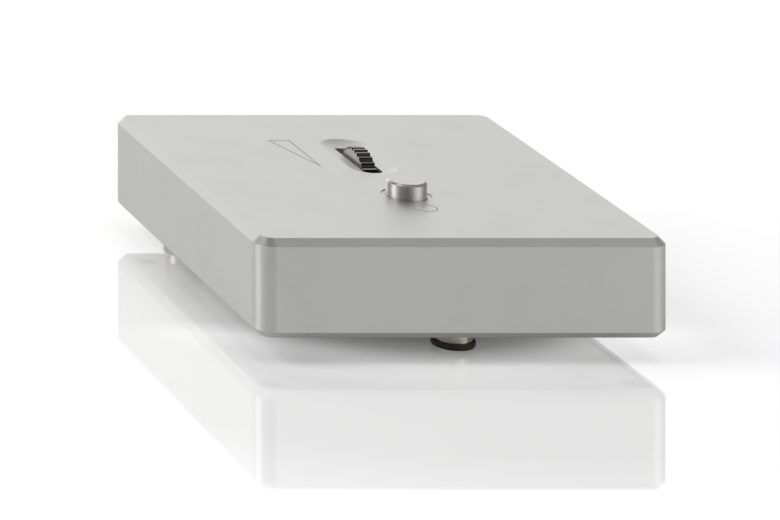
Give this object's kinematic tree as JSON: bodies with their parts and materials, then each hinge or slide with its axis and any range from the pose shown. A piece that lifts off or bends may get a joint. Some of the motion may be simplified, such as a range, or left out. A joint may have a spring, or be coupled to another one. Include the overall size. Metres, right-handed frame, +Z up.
{
  "type": "phono preamplifier",
  "caption": "Palm-sized phono preamplifier in a chamfered milled aluminium case on low feet, with a round push button and a ribbed volume wheel in its top and phono sockets behind.",
  "frame": {"origin": "middle of the whole object's footprint, on the surface that the feet stand on", "axes": "+X is the case's right as seen from the front, +Y points to the rear where the sockets are, +Z is up"},
  "size_m": [0.08, 0.098, 0.0274],
  "materials": {
    "anodised_aluminium": "fine bead-blasted and clear anodised",
    "plate_aluminium": "clear anodised sheet",
    "turned_steel": "fine turned, bright",
    "bright_collar": "bright nickel plated",
    "rubber": "matt",
    "screw_steel": "dark plated",
    "bright_screw_steel": "zinc plated",
    "spring_steel": "drawn wire",
    "spindle_steel": "ground",
    "board_green": "glass fibre with solder mask",
    "spacer_brass": "machined",
    "black_plastic": "moulded",
    "white_plastic": "moulded",
    "red_plastic": "moulded",
    "potentiometer_blue": "moulded",
    "gold_plate": "gold plated",
    "nickel_plate": "nickel plated",
    "chip_epoxy": "moulded epoxy",
    "can_sleeve": "printed sleeve over an aluminium can",
    "film_red": "dipped box",
    "resistor_body": "lacquered",
    "relay_case": "moulded"
  },
  "bodies": {
    "case": {"case_housing": "anodised_aluminium", "base_plate": "plate_aluminium", "rear_panel": "plate_aluminium", "base_screws": "screw_steel", "rear_panel_screws": "screw_steel", "front_foot_collar": "bright_collar", "rear_left_foot_collar": "bright_collar", "rear_right_foot_collar": "bright_collar", "front_foot_pad": "rubber", "rear_left_foot_pad": "rubber", "rear_right_foot_pad": "rubber", "foot_screws": "screw_steel", "circuit_board": "board_green", "board_spacers": "spacer_brass", "board_screws": "bright_screw_steel", "button_spring": "spring_steel", "power_switch_body": "black_plastic", "volume_bushing": "nickel_plate", "volume_potentiometer": "potentiometer_blue", "input_jack_block": "black_plastic", "output_jack_block": "black_plastic", "input_left_insulator": "white_plastic", "input_right_insulator": "red_plastic", "output_left_insulator": "white_plastic", "output_right_insulator": "red_plastic", "input_left_shell": "gold_plate", "input_right_shell": "gold_plate", "output_left_shell": "gold_plate", "output_right_shell": "gold_plate", "jack_centre_contacts": "gold_plate", "power_inlet_body": "black_plastic", "power_inlet_pin": "nickel_plate", "ground_post": "gold_plate", "ground_post_nut": "gold_plate", "gain_switch_body": "black_plastic", "amplifier_chips": "chip_epoxy", "electrolytic_capacitors": "can_sleeve", "film_capacitors": "film_red", "resistors": "resistor_body", "mute_relay": "relay_case", "voltage_regulator": "chip_epoxy"},
    "button": {"power_button": "turned_steel", "button_plunger": "white_plastic"},
    "volume_wheel": {"volume_wheel": "turned_steel", "volume_spindle": "spindle_steel"},
    "gain_slider": {"gain_slider": "white_plastic"},
    "ground_washer": {"ground_washer": "nickel_plate"},
    "ground_thumb_nut": {"ground_thumb_nut": "gold_plate"}
  },
  "joints": [
    {"name": "power_press", "type": "slide", "parent": "case", "child": "button", "axis": [0, 0, -1], "range_m": [0, 0.0015], "stiffness_N_per_m": 600, "springref_m": -0.001, "deforming": ["button_spring"]},
    {"name": "volume_turn", "type": "hinge", "parent": "case", "child": "volume_wheel", "pos_m": [0.00055, 0.00785, 0.01805], "axis": [1, 0, 0], "range_deg": [-150, 150]},
    {"name": "gain_slide", "type": "slide", "parent": "case", "child": "gain_slider", "axis": [1, 0, 0], "range_m": [0, 0.002]},
    {"name": "ground_washer_slide", "type": "slide", "parent": "case", "child": "ground_washer", "axis": [0, 1, 0], "range_m": [0, 0.00209]},
    {"name": "ground_nut_turn", "type": "hinge", "parent": "ground_washer", "child": "ground_thumb_nut", "pos_m": [-0.0044, 0.0434, 0.0156], "axis": [0, 1, 0], "range_deg": [0, 1080]}
  ],
  "couplings": [
    {"joint": "ground_nut_turn", "follows": "ground_washer_slide", "rad_per_m": 8976}
  ]
}
